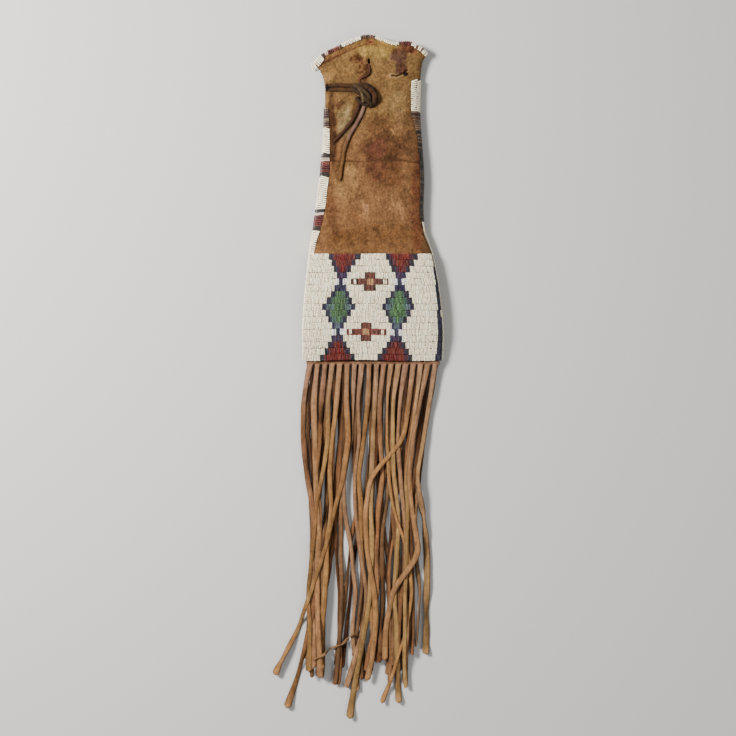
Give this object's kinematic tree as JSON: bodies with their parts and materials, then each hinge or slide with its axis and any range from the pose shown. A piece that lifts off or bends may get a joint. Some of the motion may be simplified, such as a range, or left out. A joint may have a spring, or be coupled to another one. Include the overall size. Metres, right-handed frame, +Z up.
{
  "type": "beaded pipe bag",
  "caption": "Long flat hide bag with a lane-stitched bead panel, beaded side strips and mouth edge, a tie thong and a long cut hide fringe, lying on its back.",
  "frame": {"origin": "on the flat back of the bead panel, in the middle of the panel, on the surface that the bag lies on", "axes": "+Y along the bag towards its mouth, +Z up out of the bag's front, +X to the right seen from the front"},
  "size_m": [0.1965, 0.8049, 0.0269],
  "materials": {
    "hide": "smoked and rubbed soft hide, matt",
    "fringe_hide": "soft hide cut in strands, matt",
    "thong_hide": "dark worn hide thong, matt",
    "white_beads": "opaque glass seed beads, satin",
    "pale_beads": "opaque glass seed beads, satin",
    "red_beads": "opaque glass seed beads, satin",
    "brown_beads": "opaque glass seed beads, satin",
    "tan_beads": "opaque glass seed beads, satin",
    "blue_beads": "opaque glass seed beads, satin",
    "green_beads": "opaque glass seed beads, satin",
    "dark_beads": "opaque glass seed beads, satin"
  },
  "bodies": {
    "root": {"front_hide": "hide", "back_hide": "hide", "front_ground_left": "white_beads", "front_ground_middle": "white_beads", "front_ground_right": "white_beads", "left_motif_outline": "blue_beads", "left_upper_triangle": "red_beads", "left_diamond": "green_beads", "left_lower_triangle": "red_beads", "right_motif_outline": "blue_beads", "right_upper_triangle": "red_beads", "right_diamond": "green_beads", "right_lower_triangle": "red_beads", "upper_cross": "brown_beads", "upper_cross_centre": "tan_beads", "upper_cross_left_square": "white_beads", "upper_cross_right_square": "white_beads", "lower_cross": "brown_beads", "lower_cross_centre": "tan_beads", "lower_cross_left_square": "white_beads", "lower_cross_right_square": "white_beads", "right_side_lane": "blue_beads", "left_side_lane": "blue_beads", "back_panel": "white_beads", "left_strip_1_dark": "dark_beads", "left_strip_2_white": "white_beads", "left_strip_3_dark": "dark_beads", "left_strip_4_pale": "pale_beads", "left_strip_5_red": "red_beads", "left_strip_6_dark": "dark_beads", "left_strip_7_white": "white_beads", "left_strip_8_dark": "dark_beads", "left_strip_9_pale": "pale_beads", "left_strip_10_red": "red_beads", "left_strip_11_dark": "dark_beads", "left_strip_12_white": "white_beads", "right_strip_1_white": "white_beads", "right_strip_2_dark": "dark_beads", "right_strip_3_pale": "pale_beads", "right_strip_4_dark": "dark_beads", "right_strip_5_white": "white_beads", "mouth_edging_1_white": "white_beads", "mouth_edging_2_pale": "pale_beads", "mouth_edging_3_red": "red_beads", "mouth_edging_4_white": "white_beads", "mouth_edging_5_dark": "dark_beads", "mouth_edging_6_white": "white_beads", "mouth_edging_7_red": "red_beads", "mouth_edging_8_white": "white_beads", "mouth_edging_back_white": "white_beads", "back_fringe": "fringe_hide", "front_fringe": "fringe_hide", "tie_band": "thong_hide", "tie_band_lower": "thong_hide", "tie_neck_piece": "thong_hide", "tie_tail_long": "thong_hide", "tie_tail_short": "thong_hide", "tie_knot": "thong_hide"}
  },
  "joints": []
}
